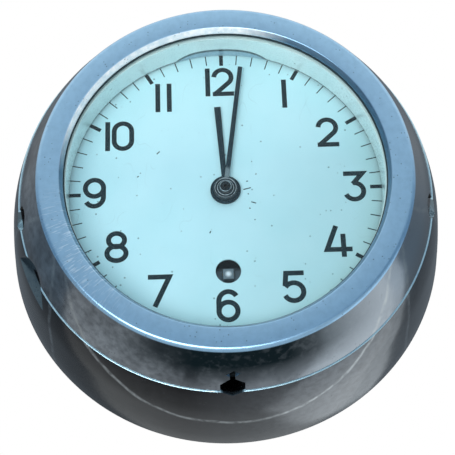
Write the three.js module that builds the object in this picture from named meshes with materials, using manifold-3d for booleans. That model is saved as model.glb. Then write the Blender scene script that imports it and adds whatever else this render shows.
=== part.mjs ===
// A round ship's deck clock: a flared bulkhead case, a hinged front cover with a key lock, and an
// eight-day spring movement with a lever escapement behind a white dial.
//
// Millimetres. Every piece is drawn as seen by someone reading the dial: x to the right, y towards
// 12 o'clock, z out of the bulkhead, from the mounting face at z = 0. The last lines turn the whole
// clock upright, so that 12 o'clock is +Z and the dial faces -Y. Angles named "clock angle" are in
// degrees clockwise from 12 o'clock.

import * as THREE from 'three';
import { mergeVertices } from 'three/addons/utils/BufferGeometryUtils.js';
import Module from 'manifold-3d';

const wasm = await Module();
wasm.setup();

// ---------------------------------------------------------------- driving dimensions

const CASE_SIDES = 60;
const DIAL_SIDES = 44;
const SMALL_SIDES = 16;
const GAP = 0.3;

const BACK_RADIUS = 110;
const SEAM_RADIUS = 99.9;
const SEAM_HEIGHT = 55.2;
const COVER_HEIGHT = 79.7;
const BEZEL_OUTER = 87.6;
const BEZEL_INNER = 77.4;
const WINDOW_RADIUS = 75.9;
const SEAT_RADIUS = 79.6;
const FLOOR_THICKNESS = 5;
const RIM_INNER = 91.5;
const SPIGOT_OUTER = 94.5;
const SPIGOT_TOP = 57.4;

const HINGE = { y: 100.6, z: 54.3, knuckle: 2.4, pin: 1.0, bore: 1.3, half: 9 };
const SIDE_OPENINGS = [97, 263];
const LOCK_ANGLE = 180;
const THUMB_NOTCH = { angle: 247, distance: 123, radius: 25.4, floor: 43.2 };
const MOUNTING_CIRCLE = 84.5;
const MOUNTING_ANGLES = [90, 210, 330];
const MOUNTING_HOLE_RADIUS = 3.5;

const DIAL_BACK = 55;
const DIAL_FRONT = 56;
const DIAL_RADIUS = 78;
const WINDING_DISTANCE = 41.5;
const WINDING_HOLE_RADIUS = 6;
const DIAL_FOOT_ANGLES = [30, 150, 270];
const DIAL_FOOT_CIRCLE = 56;

const BACK_PLATE = { radius: 60, bottom: 20, top: 22.5 };
const FRONT_PLATE = { radius: 60, bottom: 42, top: 44.5 };
const POST_ANGLES = [0, 120, 240];
const POST_CIRCLE = 54;
const PILLAR_ANGLES = [45, 135, 225, 315];
const PILLAR_CIRCLE = 49.5;
const PIVOT_RADIUS = 0.9;
const PIVOT_HOLE_RADIUS = 1.2;

const MINUTE_HAND_ANGLE = 8;
const HOUR_HAND_ANGLE = -3.4;

// ---------------------------------------------------------------- materials

const finish = (color, roughness, metalness) =>
  new THREE.MeshStandardMaterial({ color, roughness, metalness });

const NICKEL = finish(0x6f7580, 0.35, 1.0);
const BEZEL_NICKEL = finish(0x8fb4d6, 0.3, 1.0);
const GLASS = new THREE.MeshStandardMaterial({
  color: 0xdff2f4, roughness: 0.05, metalness: 0.0, transparent: true, opacity: 0.25,
});
const RUBBER = finish(0x20262a, 0.8, 0.0);
const CREAM_PAINT = finish(0xcfe6e6, 0.35, 0.0);
const DIAL_PAINT = finish(0xc4e9ee, 0.5, 0.0);
const HAND_BLUE = finish(0x16202b, 0.4, 0.6);
const STEEL = finish(0x9aa0a6, 0.35, 1.0);
const BRASS = finish(0xb79a55, 0.35, 1.0);
const SPRING_STEEL = finish(0x3a4a66, 0.3, 1.0);

// ---------------------------------------------------------------- making solids

const WELD_DISTANCE = 1e-4;

/** The closed geometry as a solid that can be joined and cut. */
function solid(geometry) {
  const bare = new THREE.BufferGeometry();
  bare.setAttribute('position', geometry.getAttribute('position'));
  bare.setIndex(geometry.index);
  const welded = mergeVertices(bare, WELD_DISTANCE);
  const corners = welded.index.array;
  const triangles = [];
  for (let i = 0; i < corners.length; i += 3) {
    const [a, b, c] = corners.slice(i, i + 3);
    if (a !== b && b !== c && c !== a) triangles.push(a, b, c);
  }
  const mesh = new wasm.Mesh({
    numProp: 3,
    vertProperties: new Float32Array(welded.getAttribute('position').array),
    triVerts: Uint32Array.from(triangles),
  });
  return new wasm.Manifold(mesh);
}

/** A solid back as a geometry with flat faces. */
function geometryOf(body) {
  const mesh = body.getMesh();
  const geometry = new THREE.BufferGeometry();
  geometry.setAttribute('position', new THREE.BufferAttribute(mesh.vertProperties, 3));
  geometry.setIndex(new THREE.BufferAttribute(mesh.triVerts, 1));
  geometry.computeVertexNormals();
  return geometry;
}

const join = (...bodies) => bodies.reduce((whole, body) => whole.add(body));
const cut = (body, ...tools) => tools.reduce((rest, tool) => rest.subtract(tool), body);

/** A turned solid about the z axis. The profile is [radius, z] points, anticlockwise. */
function turned(profile, sides = DIAL_SIDES, closed = true) {
  const points = profile.map(([radius, z]) => new THREE.Vector2(radius, z));
  if (closed) points.push(points[0].clone());
  return solid(new THREE.LatheGeometry(points, sides).rotateX(Math.PI / 2));
}

/** An outline in x and y, standing from z = bottom to z = top. */
function prism(outline, bottom, top) {
  const geometry = new THREE.ExtrudeGeometry(outline, {
    depth: top - bottom, bevelEnabled: false, curveSegments: 12, steps: 1,
  });
  return solid(geometry.translate(0, 0, bottom));
}

function circlePoints(radius, sides, centre = new THREE.Vector2()) {
  return Array.from({ length: sides }, (_, i) => {
    const angle = (2 * Math.PI * i) / sides;
    return new THREE.Vector2(centre.x + radius * Math.cos(angle), centre.y + radius * Math.sin(angle));
  });
}

/** A round bar along z at a centre in x and y. */
function bar(radius, bottom, top, centre = new THREE.Vector2(), sides = SMALL_SIDES) {
  return prism(new THREE.Shape(circlePoints(radius, sides, centre)), bottom, top);
}

/** A washer or tube along z. */
function tube(outer, inner, bottom, top, centre = new THREE.Vector2(), sides = 24) {
  const outline = new THREE.Shape(circlePoints(outer, sides, centre));
  outline.holes.push(new THREE.Path(circlePoints(inner, sides, centre)));
  return prism(outline, bottom, top);
}

function polygon(points) {
  return new THREE.Shape(points.map(([x, y]) => new THREE.Vector2(x, y)));
}

function box([x0, x1], [y0, y1], [z0, z1]) {
  return prism(polygon([[x0, y0], [x1, y0], [x1, y1], [x0, y1]]), z0, z1);
}

/** The place at a clock angle on a circle about the dial's centre. */
function place(radius, clockAngle, centre = new THREE.Vector2()) {
  const angle = THREE.MathUtils.degToRad(clockAngle);
  return new THREE.Vector2(centre.x + radius * Math.sin(angle), centre.y + radius * Math.cos(angle));
}

/** Turns a solid about the dial's axis, clockwise for positive clock angles. */
const turnedTo = (body, clockAngle) => body.rotate([0, 0, -clockAngle]);

const clock = new THREE.Group();

function addPiece(name, body, material) {
  const mesh = new THREE.Mesh(geometryOf(body), material);
  mesh.name = name;
  clock.add(mesh);
}

// ---------------------------------------------------------------- gears

const TIP_HEIGHT = 0.75;
const ROOT_DEPTH = 1.2;
const ROOT_HALF_SHARE = 0.25;

const heading = (from, to) => Math.atan2(to.y - from.y, to.x - from.x);

/** A gear: its centre, teeth, module, and the angle at which one tooth points. */
function gear(centre, teeth, module, toothAngle = 0) {
  return { centre, teeth, module, toothAngle, radius: (teeth * module) / 2, step: (2 * Math.PI) / teeth };
}

/** A gear of the same module at a centre, turned so that its teeth sit in the driver's gaps. */
function meshed(driver, centre, teeth) {
  const direction = heading(driver.centre, centre);
  const driven = gear(centre, teeth, driver.module);
  const share = (driver.toothAngle - direction) / driver.step;
  driven.toothAngle = direction + Math.PI - share * driven.step + driven.step / 2;
  return driven;
}

const gearDistance = (teethA, teethB, module) => ((teethA + teethB) * module) / 2;

function gearOutline({ centre, teeth, module, toothAngle, radius, step }) {
  const tip = radius + TIP_HEIGHT * module;
  const root = radius - ROOT_DEPTH * module;
  const corners = [[root, -ROOT_HALF_SHARE], [tip, 0], [root, ROOT_HALF_SHARE]];
  const points = [];
  for (let tooth = 0; tooth < teeth; tooth += 1) {
    for (const [reach, share] of corners) {
      const angle = toothAngle + (tooth + share) * step;
      const offset = new THREE.Vector2(Math.cos(angle), Math.sin(angle)).multiplyScalar(reach);
      points.push(offset.add(centre));
    }
  }
  return new THREE.Shape(points);
}

/** Openings between a wheel's spokes. */
function spokeWindows(centre, inner, outer, count) {
  const spokeHalfAngle = 0.13;
  const span = (2 * Math.PI) / count;
  return Array.from({ length: count }, (_, i) => {
    const start = i * span;
    const path = new THREE.Path();
    path.absarc(centre.x, centre.y, outer, start + spokeHalfAngle, start + span - spokeHalfAngle, false);
    const innerStart = start + 3 * spokeHalfAngle;
    const innerEnd = start + span - 3 * spokeHalfAngle;
    path.absarc(centre.x, centre.y, inner, innerEnd, innerStart, true);
    return new THREE.Path(path.getPoints(3));
  });
}

function wheel(description, bottom, top, spokes = 4) {
  const outline = gearOutline(description);
  const rim = description.radius - 3 * description.module;
  outline.holes.push(...spokeWindows(description.centre, 3, rim, spokes));
  return prism(outline, bottom, top);
}

const pinion = (description, bottom, top) => prism(gearOutline(description), bottom, top);

/** An arbor with a thin pivot at each end, running in the two movement plates. */
function arbor(centre, radius) {
  return join(
    bar(PIVOT_RADIUS, BACK_PLATE.bottom, FRONT_PLATE.top, centre, 12),
    bar(radius, BACK_PLATE.top + GAP, FRONT_PLATE.bottom - GAP, centre, 12),
  );
}

// ---------------------------------------------------------------- where the train stands

const CENTRE = new THREE.Vector2(0, 0);
const BARREL = place(WINDING_DISTANCE, 180);

/** The point at given distances from two others, on the left of the line from the first. */
function between(first, firstDistance, second, secondDistance) {
  const span = first.distanceTo(second);
  const along = (firstDistance ** 2 - secondDistance ** 2 + span ** 2) / (2 * span);
  const aside = Math.sqrt(firstDistance ** 2 - along ** 2);
  const direction = heading(first, second);
  const offset = new THREE.Vector2(along, aside).rotateAround(CENTRE, direction);
  return first.clone().add(offset);
}

const BARREL_GEAR = gear(BARREL, 40, 1.05);
const INTERMEDIATE = between(BARREL, gearDistance(40, 8, 1.05), CENTRE, gearDistance(36, 8, 0.9));
const INTERMEDIATE_PINION = meshed(BARREL_GEAR, INTERMEDIATE, 8);
const INTERMEDIATE_WHEEL = gear(INTERMEDIATE, 36, 0.9);
const CENTRE_PINION = meshed(INTERMEDIATE_WHEEL, CENTRE, 8);
const CENTRE_WHEEL = gear(CENTRE, 48, 2 / 3);
const THIRD = place(gearDistance(48, 6, 2 / 3), 60);
const THIRD_PINION = meshed(CENTRE_WHEEL, THIRD, 6);
const THIRD_WHEEL = gear(THIRD, 45, 0.6);
const FOURTH = place(gearDistance(45, 6, 0.6), -20, THIRD);
const FOURTH_PINION = meshed(THIRD_WHEEL, FOURTH, 6);
const FOURTH_WHEEL = gear(FOURTH, 48, 0.46);
const ESCAPE = place(gearDistance(48, 6, 0.46), -75, FOURTH);
const ESCAPE_PINION = meshed(FOURTH_WHEEL, ESCAPE, 6);
const PALLET = place(8, -80, ESCAPE);
const BALANCE = place(10.5, -100, PALLET);

const CANNON_PINION = gear(CENTRE, 12, 0.5);
const MINUTE_WHEEL_CENTRE = place(gearDistance(12, 36, 0.5), 50);
const MINUTE_WHEEL = meshed(CANNON_PINION, MINUTE_WHEEL_CENTRE, 36);
const MINUTE_PINION = gear(MINUTE_WHEEL_CENTRE, 10, 0.48);
const HOUR_WHEEL = meshed(MINUTE_PINION, CENTRE, 40);

const CLICK_PIVOT = place(14.2, 60, BARREL);

// ---------------------------------------------------------------- case

/** The opening through the cover's skirt where a key goes in, as seen from outside. */
const KEY_OPENING = [
  [-5.6, 50], [5.8, 50], [5.8, 60.4], [1.4, 63], [1.3, 64.6], [3.8, 66.2], [0.8, 67.8],
  [-3, 65.6], [-1.1, 64.4], [-1.1, 62.8], [-2, 62.4], [-5.6, 59.4],
];
const SIDE_OPENING = [[-5.6, 50], [5.6, 50], [5.6, 60.2], [1.6, 63], [-1.6, 63], [-5.6, 60.2]];

/** A cut made from outside towards the dial's axis. The outline is in x and z. */
function radialCut(outline, clockAngle, inner, outer) {
  const flat = prism(polygon(outline), inner, outer);
  return turnedTo(flat.rotate([90, 0, 0]), clockAngle - 180);
}

/** A V in the case's rim, as deep as given, that carries on an opening in the cover. */
function rimNotch(depth) {
  const half = 5.4;
  const above = SEAM_HEIGHT + 5;
  return [
    [-half, SEAM_HEIGHT], [0, SEAM_HEIGHT - depth], [half, SEAM_HEIGHT], [half, above], [-half, above],
  ];
}

function thumbNotch(bottom, top) {
  return bar(THUMB_NOTCH.radius, bottom, top, place(THUMB_NOTCH.distance, THUMB_NOTCH.angle), CASE_SIDES);
}

function barAcross(radius, from, to) {
  const length = to - from;
  const geometry = new THREE.CylinderGeometry(radius, radius, length, 20);
  geometry.rotateZ(Math.PI / 2).translate((from + to) / 2, HINGE.y, HINGE.z);
  return solid(geometry);
}

function hingePocket(bottom, top) {
  return box([-HINGE.half - GAP, HINGE.half + GAP], [97.4, 112], [bottom, top]);
}

/** One knuckle with its web, which reaches from the casting to the hinge pin. */
function knuckle([from, to], [inner, outer], [bottom, top]) {
  return join(barAcross(HINGE.knuckle, from, to), box([from, to], [inner, outer], [bottom, top]));
}

function makeCaseBase() {
  const shell = turned([
    [0, 0], [BACK_RADIUS, 0], [107.9, 17.5], [105, 36.7], [102.6, 46.4],
    [SEAM_RADIUS, SEAM_HEIGHT], [SPIGOT_OUTER, SEAM_HEIGHT], [SPIGOT_OUTER, SPIGOT_TOP],
    [RIM_INNER, SPIGOT_TOP], [RIM_INNER, 41], [100.6, 31], [103, FLOOR_THICKNESS],
    [0, FLOOR_THICKNESS],
  ], CASE_SIDES, false);
  const holes = MOUNTING_ANGLES.map((angle) =>
    bar(MOUNTING_HOLE_RADIUS, -1, FLOOR_THICKNESS + 1, place(MOUNTING_CIRCLE, angle), 20));
  const sideNotches = SIDE_OPENINGS.map((angle) => radialCut(rimNotch(5.5), angle, 88, 112));
  const body = cut(
    shell, ...holes, ...sideNotches,
    radialCut(rimNotch(2.8), LOCK_ANGLE, 88, 112),
    thumbNotch(THUMB_NOTCH.floor, 70),
    hingePocket(51.3, 70),
  );
  const inner = HINGE.half / 3 + GAP;
  const lugs = join(
    knuckle([-HINGE.half, -inner], [96.9, HINGE.y], [50.8, HINGE.z]),
    knuckle([inner, HINGE.half], [96.9, HINGE.y], [50.8, HINGE.z]),
  );
  return cut(join(body, lugs), barAcross(HINGE.bore, -20, 20));
}

function makeFrontCover() {
  const edge = SEAM_HEIGHT + 0.4;
  const shell = turned([
    [96.4, edge], [99.3, edge], [95.6, 64.6], [91.1, 73.1], [88.3, 78.5], [BEZEL_OUTER - 0.4, COVER_HEIGHT],
    [BEZEL_INNER, COVER_HEIGHT], [WINDOW_RADIUS, 77.2], [WINDOW_RADIUS, 76.2], [SEAT_RADIUS, 76.2],
    [SEAT_RADIUS, 66], [81.8, 66], [81.8, 75.4], [85.2, 75.4],
  ], CASE_SIDES);
  const sideOpenings = SIDE_OPENINGS.map((angle) => radialCut(SIDE_OPENING, angle, 84, 112));
  const body = cut(
    shell, ...sideOpenings,
    radialCut(KEY_OPENING, LOCK_ANGLE, 84, 112),
    thumbNotch(50, 66),
    hingePocket(50, 57.8),
  );
  const half = HINGE.half / 3 - GAP;
  const lug = knuckle([-half, half], [97.8, HINGE.y], [HINGE.z, 58.6]);
  return cut(join(body, lug), barAcross(HINGE.bore, -20, 20));
}

addPiece('case_base', makeCaseBase(), NICKEL);
addPiece('front_cover', makeFrontCover(), BEZEL_NICKEL);
addPiece('hinge_pin', barAcross(HINGE.pin, -HINGE.half, HINGE.half), STEEL);
addPiece('glass_gasket', turned([[75.4, 75.3], [79.2, 75.3], [79.2, 75.9], [75.4, 75.9]]), RUBBER);
addPiece('cover_glass', bar(79, 73, 75, CENTRE, DIAL_SIDES), GLASS);
addPiece('glass_retaining_ring', turned([
  [75.1, 57.2], [79.2, 57.2], [79.2, 72.7], [75.1, 72.7],
]), CREAM_PAINT);

// ---------------------------------------------------------------- lock at 6 o'clock

const LOCK_HEIGHT = 59.3;

/** A radial bar at the lock, between two distances from the dial's axis. */
function lockBar(outline, inner, outer) {
  return prism(outline, inner, outer).rotate([90, 0, 0]).translate([0, 0, LOCK_HEIGHT]);
}

function makeLockSpindle() {
  const lobe = polygon([[-2.4, 0], [2.4, 0], [1.6, 7.5], [-1.6, 7.5]]);
  const square = polygon([[-1.8, -1.8], [1.8, -1.8], [1.8, 1.8], [-1.8, 1.8]]);
  return join(
    lockBar(new THREE.Shape(circlePoints(2.2, SMALL_SIDES)), 83.5, 90),
    lockBar(lobe, 83.5, 85.2),
    lockBar(square, 90, 93.5),
  );
}

function makeLockBracket() {
  const outline = [[-8, 44], [8, 44], [8, 60], [5, 63.5], [-5, 63.5], [-8, 60]];
  const upright = prism(polygon(outline), 86, 88).rotate([90, 0, 0]);
  const foot = box([-8, 8], [-90.7, -86], [44, 46.5]);
  return cut(join(upright, foot), lockBar(new THREE.Shape(circlePoints(2.5, SMALL_SIDES)), 80, 95));
}

/** A strip under the bezel whose hook the lock's lobe turns over. */
function makeCoverCatch() {
  return join(box([9.2, 11], [-85.2, -82.2], [53.5, 73.6]), box([4.4, 9.3], [-85.2, -82.2], [53.5, 55.4]));
}

addPiece('lock_bracket', makeLockBracket(), STEEL);
addPiece('lock_spindle', makeLockSpindle(), STEEL);
addPiece('cover_catch', makeCoverCatch(), STEEL);

// ---------------------------------------------------------------- dial and hands

function makeDial() {
  const outline = new THREE.Shape(circlePoints(DIAL_RADIUS, DIAL_SIDES));
  outline.holes.push(new THREE.Path(circlePoints(3.5, 24)));
  outline.holes.push(new THREE.Path(circlePoints(WINDING_HOLE_RADIUS, 32, BARREL)));
  const feet = DIAL_FOOT_ANGLES.map((angle) =>
    bar(1.5, FRONT_PLATE.top + GAP, DIAL_BACK + 0.2, place(DIAL_FOOT_CIRCLE, angle), 10));
  return join(prism(outline, DIAL_BACK, DIAL_FRONT), ...feet);
}

function makeHourHand() {
  const blade = polygon([[-1.2, 5], [1.2, 5], [1.6, 45.4], [-1.6, 45.4]]);
  const hand = join(tube(7.3, 3.2, 56.7, 58, CENTRE, 32), prism(blade, 57, 57.7));
  return turnedTo(hand, HOUR_HAND_ANGLE);
}

function makeMinuteHand() {
  const blade = polygon([[-1.15, 4], [1.15, 4], [1.1, 67.6], [-1.1, 67.6]]);
  const hand = join(tube(5.7, 2.0, 58.4, 60, CENTRE, 32), prism(blade, 58.9, 59.6));
  return turnedTo(hand, MINUTE_HAND_ANGLE);
}

addPiece('dial_plate', makeDial(), DIAL_PAINT);
addPiece('hour_hand', makeHourHand(), HAND_BLUE);
addPiece('minute_hand', makeMinuteHand(), HAND_BLUE);
addPiece('hand_nut', tube(2.9, 1.95, 60.3, 61.8, CENTRE, 24), STEEL);

// ---------------------------------------------------------------- motion work behind the dial

function makeCannonPinion() {
  const tubeBody = tube(1.65, 1.1, 45, 62, CENTRE, SMALL_SIDES);
  const teeth = cut(pinion(CANNON_PINION, 45.6, 48.4), bar(1.1, 45, 49));
  return join(tubeBody, teeth);
}

function makeHourWheel() {
  const outline = gearOutline(HOUR_WHEEL);
  outline.holes.push(new THREE.Path(circlePoints(2.0, SMALL_SIDES)));
  return join(prism(outline, 49.2, 50.6), tube(2.9, 2.0, 50.4, 57.8, CENTRE, 20));
}

function makeMinuteWheel() {
  const bore = bar(1.2, 44, 54, MINUTE_WHEEL_CENTRE, 12);
  const gears = join(pinion(MINUTE_WHEEL, 46.2, 47.8), pinion(MINUTE_PINION, 47.6, 51));
  return cut(gears, bore);
}

addPiece('cannon_pinion', makeCannonPinion(), STEEL);
addPiece('hour_wheel', makeHourWheel(), BRASS);
addPiece('minute_wheel', makeMinuteWheel(), BRASS);
addPiece('minute_wheel_stud', join(
  bar(0.9, FRONT_PLATE.top + GAP, 52, MINUTE_WHEEL_CENTRE, 12),
  bar(2, FRONT_PLATE.top + GAP, 45.8, MINUTE_WHEEL_CENTRE, 12),
), STEEL);

// ---------------------------------------------------------------- movement frame

const PIVOT_CENTRES = [INTERMEDIATE, CENTRE, THIRD, FOURTH, ESCAPE, PALLET, BALANCE];

function movementPlate({ radius, bottom, top }, extraHoles) {
  const outline = new THREE.Shape(circlePoints(radius, 40));
  outline.holes.push(new THREE.Path(circlePoints(3.4, 20, BARREL)));
  for (const centre of PIVOT_CENTRES) {
    outline.holes.push(new THREE.Path(circlePoints(PIVOT_HOLE_RADIUS, 10, centre)));
  }
  for (const [centre, hole] of extraHoles) {
    outline.holes.push(new THREE.Path(circlePoints(hole, 12, centre)));
  }
  return prism(outline, bottom, top);
}

const postCentres = POST_ANGLES.map((angle) => place(POST_CIRCLE, angle));
const pillarCentres = PILLAR_ANGLES.map((angle) => place(PILLAR_CIRCLE, angle));
const POST_BORE = 2;
const POST_RADIUS = 4;

addPiece('back_plate', movementPlate(
  BACK_PLATE, postCentres.map((centre) => [centre, POST_RADIUS + 0.6]),
), BRASS);
addPiece('front_plate', movementPlate(
  FRONT_PLATE, postCentres.map((centre) => [centre, POST_BORE]),
), BRASS);

postCentres.forEach((centre, index) => {
  const post = bar(POST_RADIUS, FLOOR_THICKNESS + GAP, FRONT_PLATE.bottom - GAP, centre);
  addPiece(`movement_post_${index + 1}`, cut(post, bar(POST_BORE, 34, 45, centre)), BRASS);
  const screw = join(bar(1.6, 35, 45, centre, 12), bar(3.4, FRONT_PLATE.top + GAP, 46.8, centre));
  const slot = box([centre.x - 4, centre.x + 4], [centre.y - 0.4, centre.y + 0.4], [46.1, 48]);
  addPiece(`post_screw_${index + 1}`, cut(screw, slot), STEEL);
});

pillarCentres.forEach((centre, index) => {
  const pillar = bar(3, BACK_PLATE.top + GAP, FRONT_PLATE.bottom - GAP, centre);
  addPiece(`movement_pillar_${index + 1}`, pillar, BRASS);
});

// ---------------------------------------------------------------- barrel and winding

const DRUM = { outer: 18.6, inner: 17.4, bottom: 24, top: 36 };

function makeBarrelDrum() {
  const toothed = gearOutline(BARREL_GEAR);
  toothed.holes.push(new THREE.Path(circlePoints(3.4, 20, BARREL)));
  return join(prism(toothed, DRUM.bottom, 26), tube(DRUM.outer, DRUM.inner, 25.8, DRUM.top, BARREL, 32));
}

/** A flat spiral strip, drawn as two spirals a strip's thickness apart. */
function spiralStrip(centre, innerRadius, outerRadius, turns, thickness, bottom, top) {
  const steps = turns * 14;
  const side = (offset) => Array.from({ length: steps + 1 }, (_, i) => {
    const radius = THREE.MathUtils.lerp(innerRadius, outerRadius, i / steps) + offset;
    const angle = (2 * Math.PI * turns * i) / steps;
    return new THREE.Vector2(centre.x + radius * Math.cos(angle), centre.y + radius * Math.sin(angle));
  });
  const outline = [...side(thickness / 2), ...side(-thickness / 2).reverse()];
  return prism(new THREE.Shape(outline), bottom, top);
}

function makeBarrelArbor() {
  const side = 2.5;
  const square = box([-side, side], [-side, side], [46, 52.5]).translate([BARREL.x, BARREL.y, 0]);
  return join(bar(3, BACK_PLATE.bottom, 46.2, BARREL), square);
}

/** A wheel of saw teeth. */
function sawOutline(centre, teeth, tip, root, lean, turn = 0) {
  const step = (2 * Math.PI) / teeth;
  const points = [];
  for (let tooth = 0; tooth < teeth; tooth += 1) {
    for (const [reach, share] of [[root, 0], [tip, lean], [tip, lean + 0.06]]) {
      const angle = turn + (tooth + share) * step;
      const offset = new THREE.Vector2(Math.cos(angle), Math.sin(angle)).multiplyScalar(reach);
      points.push(offset.add(centre));
    }
  }
  return new THREE.Shape(points);
}

function makeRatchetWheel() {
  const outline = sawOutline(BARREL, 24, 10.4, 8.8, 0.75);
  outline.holes.push(new THREE.Path([[-1, -1], [1, -1], [1, 1], [-1, 1]].map(([x, y]) =>
    new THREE.Vector2(BARREL.x + 2.8 * x, BARREL.y + 2.8 * y))));
  return prism(outline, 46.5, 48);
}

/** A pawl on its stud, with its nose held just clear of the ratchet's teeth. */
function makeClick() {
  const away = heading(BARREL, CLICK_PIVOT);
  const nose = new THREE.Vector2(-3.1, 4.2).rotateAround(CENTRE, away).add(CLICK_PIVOT);
  const across = new THREE.Vector2(1.1, 0.8).rotateAround(CENTRE, away);
  const outline = new THREE.Shape([
    CLICK_PIVOT.clone().add(across.clone().multiplyScalar(1.6)),
    nose.clone().add(across.clone().multiplyScalar(0.5)),
    nose.clone().sub(across.clone().multiplyScalar(0.3)),
    CLICK_PIVOT.clone().sub(across.clone().multiplyScalar(1.4)),
  ]);
  const pawl = join(bar(2.2, 46.5, 48, CLICK_PIVOT), prism(outline, 46.5, 48));
  return cut(pawl, bar(1.1, 44, 50, CLICK_PIVOT, 12));
}

addPiece('barrel_drum', makeBarrelDrum(), BRASS);
addPiece('barrel_cap', tube(DRUM.outer, 3.4, DRUM.top + GAP, 37.3, BARREL, 32), BRASS);
addPiece('mainspring', spiralStrip(BARREL, 5, 16.4, 5, 0.8, 26.6, 35.6), SPRING_STEEL);
addPiece('barrel_arbor', makeBarrelArbor(), STEEL);
addPiece('ratchet_wheel', makeRatchetWheel(), STEEL);
addPiece('click', makeClick(), STEEL);
addPiece('click_stud', join(
  bar(0.8, FRONT_PLATE.top + GAP, 49, CLICK_PIVOT, 12),
  bar(2, FRONT_PLATE.top + GAP, 46.2, CLICK_PIVOT, 12),
), STEEL);

// ---------------------------------------------------------------- going train

addPiece('intermediate_wheel', join(
  arbor(INTERMEDIATE, 1.5), pinion(INTERMEDIATE_PINION, 23.6, 26.8), wheel(INTERMEDIATE_WHEEL, 38.2, 39.8),
), BRASS);

const centreArborTop = bar(0.8, FRONT_PLATE.bottom, 52, CENTRE, 12);
addPiece('centre_wheel', join(
  arbor(CENTRE, 1.5), centreArborTop, pinion(CENTRE_PINION, 37.6, 40.4), wheel(CENTRE_WHEEL, 32, 33.4),
), BRASS);

addPiece('third_wheel', join(
  arbor(THIRD, 1.3), pinion(THIRD_PINION, 31, 34.4), wheel(THIRD_WHEEL, 28.6, 29.8),
), BRASS);

addPiece('fourth_wheel', join(
  arbor(FOURTH, 1.1), pinion(FOURTH_PINION, 27.8, 30.6), wheel(FOURTH_WHEEL, 35.2, 36.4),
), BRASS);

// ---------------------------------------------------------------- escapement

const ESCAPE_TEETH = 15;
const ESCAPE_RADIUS = 6.5;
const LEVER_LEVEL = [26, 27.4];

function makeEscapeWheel() {
  const start = heading(ESCAPE, PALLET) + Math.PI / ESCAPE_TEETH;
  const outline = sawOutline(ESCAPE, ESCAPE_TEETH, ESCAPE_RADIUS, 4.6, 0.7, start);
  return join(arbor(ESCAPE, 0.95), pinion(ESCAPE_PINION, 34.4, 37.2), prism(outline, ...LEVER_LEVEL));
}

/** The lever: two pallet arms towards the escape wheel and a forked tail towards the balance. */
function makePalletLever() {
  const toWheel = heading(PALLET, ESCAPE);
  const toBalance = heading(PALLET, BALANCE);
  const turnBy = (points, angle) => new THREE.Shape(points.map(([x, y]) =>
    new THREE.Vector2(x, y).rotateAround(CENTRE, angle).add(PALLET)));
  const arms = [
    [-1.2, -1], [-1.2, 1], [0.4, 5.4], [2.4, 5.4], [2.4, 4.6], [1.3, 4.3], [0.9, 1],
    [0.9, -1], [1.3, -4.3], [2.4, -4.6], [2.4, -5.4], [0.4, -5.4],
  ];
  const tail = [
    [0, -0.7], [5.8, -0.5], [6.2, -2.2], [8.3, -2.2], [8.3, -1.5], [7, -1.5],
    [7, 1.5], [8.3, 1.5], [8.3, 2.2], [6.2, 2.2], [5.8, 0.5], [0, 0.7],
  ];
  return join(
    arbor(PALLET, 0.95),
    prism(turnBy(arms, toWheel), ...LEVER_LEVEL),
    prism(turnBy(tail, toBalance), ...LEVER_LEVEL),
  );
}

function makeBalanceWheel() {
  const pin = new THREE.Vector2(-1.9, 0).rotateAround(CENTRE, heading(PALLET, BALANCE)).add(BALANCE);
  const [bottom, top] = [30.6, 32.2];
  const spoke = box([-8, 8], [-0.7, 0.7], [bottom, top]).translate([BALANCE.x, BALANCE.y, 0]);
  return join(
    arbor(BALANCE, 0.95), tube(9, 7.6, bottom, top, BALANCE, 28), spoke,
    bar(2.6, 28.2, 29, BALANCE), bar(0.4, LEVER_LEVEL[0], 28.4, pin, 8),
  );
}

function makeRegulator() {
  const arm = box([-0.8, 0.8], [2.6, 14], [39.6, 40.6]).translate([BALANCE.x, BALANCE.y, 0]);
  return join(tube(3.4, 1.4, 39.6, 40.6, BALANCE, 20), arm);
}

addPiece('escape_wheel', makeEscapeWheel(), BRASS);
addPiece('pallet_lever', makePalletLever(), STEEL);
addPiece('balance_wheel', makeBalanceWheel(), BRASS);
addPiece('hairspring', spiralStrip(BALANCE, 1.9, 5.2, 3, 0.2, 35.6, 36.2), SPRING_STEEL);
addPiece('regulator_lever', makeRegulator(), STEEL);

clock.rotateX(Math.PI / 2);

export default clock;
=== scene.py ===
"""Looks for the ship's deck clock: detailed pieces, materials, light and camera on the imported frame.

Every piece is drawn in millimetres as seen by someone reading the dial: x to the right, y towards 12
o'clock, z out of the bulkhead from the mounting face. Clock angles are degrees clockwise from 12
o'clock. upright() turns such a point into the row frame, in metres.
"""

import math

import bmesh
import bpy
from mathutils import Matrix, Vector


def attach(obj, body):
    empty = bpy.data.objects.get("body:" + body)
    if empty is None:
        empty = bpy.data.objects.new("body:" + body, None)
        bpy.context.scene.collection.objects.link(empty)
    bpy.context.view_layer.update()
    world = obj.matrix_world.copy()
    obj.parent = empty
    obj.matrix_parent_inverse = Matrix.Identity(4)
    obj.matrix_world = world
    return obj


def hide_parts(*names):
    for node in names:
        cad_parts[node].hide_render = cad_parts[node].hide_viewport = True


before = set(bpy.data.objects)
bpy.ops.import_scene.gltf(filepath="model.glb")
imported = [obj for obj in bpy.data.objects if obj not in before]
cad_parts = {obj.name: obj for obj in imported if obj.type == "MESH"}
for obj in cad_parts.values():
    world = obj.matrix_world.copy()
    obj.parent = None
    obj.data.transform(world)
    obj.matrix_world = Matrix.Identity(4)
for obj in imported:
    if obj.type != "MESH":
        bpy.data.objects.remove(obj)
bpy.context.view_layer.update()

MM = 0.001
FINE_SEGMENTS = 240
SMALL_SEGMENTS = 48
SHARP_ANGLE = math.radians(32)
WELD = 1e-7

# ------------------------------------------------------------------ sizes, in millimetres

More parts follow.
